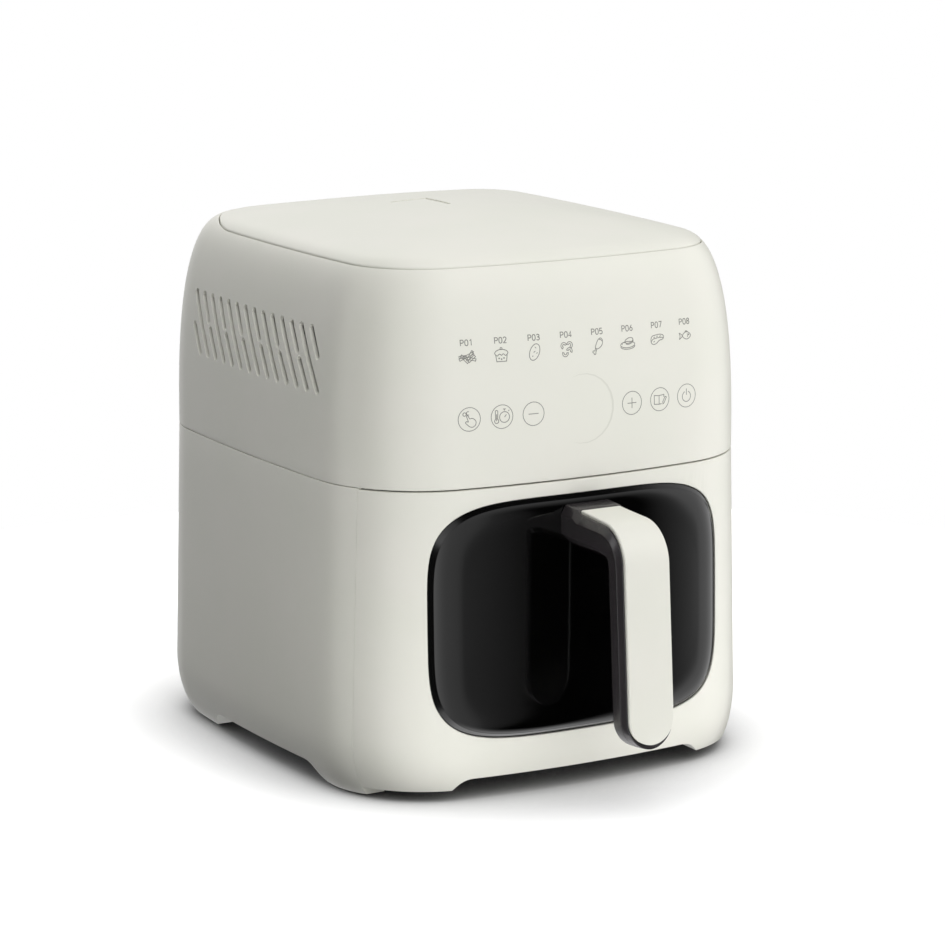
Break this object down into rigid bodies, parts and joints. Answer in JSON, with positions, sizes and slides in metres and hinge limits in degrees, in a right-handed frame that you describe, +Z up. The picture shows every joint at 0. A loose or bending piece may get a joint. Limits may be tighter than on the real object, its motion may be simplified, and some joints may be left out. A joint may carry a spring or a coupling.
{
  "type": "air fryer",
  "caption": "Upright counter-top air fryer with a rounded housing, slanted side vents, a pull-out drawer with a dark window and hooked handle, and a fan-driven cooking chamber.",
  "frame": {"origin": "on the floor, under the middle of the overall box, handle included", "axes": "+Z up, -Y towards the drawer front and its handle, +X to the right as seen from the front"},
  "size_m": [0.2622, 0.3556, 0.2997],
  "materials": {
    "cream_plastic": "warm cream, fine satin moulding",
    "gloss_black": "piano black, mirror gloss",
    "handle_black": "black, satin",
    "dark_plastic": "dark grey, plain moulding",
    "rubber": "dark grey silicone",
    "coated_steel": "dark non-stick coating",
    "plain_steel": "plain sheet steel",
    "element_steel": "heat-darkened tube",
    "aluminium": "pressed, bright",
    "circuit_board": "green solder mask"
  },
  "bodies": {
    "housing": {"upper_housing": "cream_plastic", "top_cover": "cream_plastic", "lower_housing": "cream_plastic", "base_plate": "dark_plastic", "rear_grille": "cream_plastic", "cord_gland": "dark_plastic", "foot_pad_front_left": "rubber", "foot_pad_front_right": "rubber", "foot_pad_rear_left": "rubber", "foot_pad_rear_right": "rubber", "base_screw_front_left": "plain_steel", "base_screw_front_right": "plain_steel", "base_screw_rear_left": "plain_steel", "base_screw_rear_right": "plain_steel", "front_frame": "dark_plastic", "chamber_liner": "plain_steel", "runner_left": "plain_steel", "runner_right": "plain_steel", "deck_plate": "plain_steel", "heater_housing": "aluminium", "heating_element": "element_steel", "element_clip_1": "plain_steel", "element_clip_2": "plain_steel", "element_clip_3": "plain_steel", "element_guard": "plain_steel", "exhaust_duct": "plain_steel", "motor_bracket": "plain_steel", "motor": "plain_steel", "control_carrier": "dark_plastic", "touch_board": "circuit_board", "display_module": "dark_plastic", "power_board": "circuit_board", "drawer_switch": "dark_plastic", "temperature_sensor": "plain_steel", "thermal_cutout": "plain_steel"},
    "fan": {"fan_shaft": "plain_steel", "convection_fan": "aluminium", "cooling_fan": "dark_plastic", "fan_nut": "plain_steel"},
    "drawer": {"drawer_front": "cream_plastic", "window_bezel": "gloss_black", "window_panel": "gloss_black", "drawer_back": "dark_plastic", "drawer_seal": "rubber", "basket": "coated_steel", "handle_body": "handle_black", "handle_cover": "cream_plastic", "handle_screw_1": "plain_steel", "handle_screw_2": "plain_steel", "basket_screw_1": "plain_steel", "basket_screw_2": "plain_steel"},
    "crisper": {"crisper_plate": "coated_steel", "plate_foot_front_left": "rubber", "plate_foot_front_right": "rubber", "plate_foot_rear_left": "rubber", "plate_foot_rear_right": "rubber"}
  },
  "joints": [
    {"name": "drawer_slide", "type": "slide", "parent": "housing", "child": "drawer", "axis": [0, -1, 0], "range_m": [0, 0.2]},
    {"name": "crisper_lift", "type": "slide", "parent": "drawer", "child": "crisper", "axis": [0, 0, 1], "range_m": [0, 0.118]},
    {"name": "fan_spin", "type": "hinge", "parent": "housing", "child": "fan", "pos_m": [0, 0.03345, 0.24], "axis": [0, 0, 1], "continuous": true}
  ]
}
